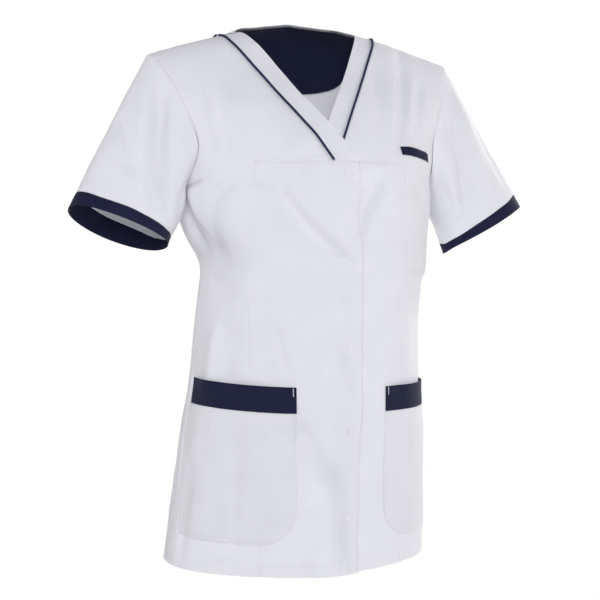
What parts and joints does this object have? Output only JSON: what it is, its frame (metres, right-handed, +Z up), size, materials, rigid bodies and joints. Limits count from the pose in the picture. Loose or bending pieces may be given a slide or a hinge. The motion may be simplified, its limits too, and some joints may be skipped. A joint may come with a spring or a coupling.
{
  "type": "medical tunic",
  "caption": "Short-sleeved crossover V-neck medical tunic with dark piping, sleeve bands, two hip pockets and a chest pocket, filled out as worn and hollow inside.",
  "frame": {"origin": "midway between the two neck ends of the shoulder seams, where a wearer's or a stand's neck holds the tunic", "axes": "+Z up, the wearer faces -Y, and the wearer's left side is +X"},
  "size_m": [0.6541, 0.2732, 0.7232],
  "materials": {
    "white_twill": "smooth white polyester and cotton twill with a faint sheen",
    "navy_twill": "smooth navy polyester and cotton twill",
    "navy_piping": "navy bias-cut piping over a thin cord",
    "stud_plastic": "white moulded plastic"
  },
  "bodies": {
    "root": {"back": "white_twill", "right_front_side": "white_twill", "right_front_centre": "white_twill", "left_front_side": "white_twill", "left_front_centre": "white_twill", "right_sleeve": "white_twill", "left_sleeve": "white_twill", "right_neckband": "white_twill", "left_neckband": "white_twill", "back_neckband": "white_twill", "right_pocket": "white_twill", "left_pocket": "white_twill", "chest_pocket": "white_twill", "right_cuff": "navy_twill", "left_cuff": "navy_twill", "back_neck_facing": "navy_twill", "right_pocket_band": "navy_twill", "left_pocket_band": "navy_twill", "chest_pocket_band": "navy_twill", "right_piping": "navy_piping", "left_piping": "navy_piping", "back_piping": "navy_piping", "press_stud_1": "stud_plastic", "press_stud_2": "stud_plastic", "press_stud_3": "stud_plastic", "press_stud_4": "stud_plastic", "press_stud_5": "stud_plastic"}
  },
  "joints": []
}
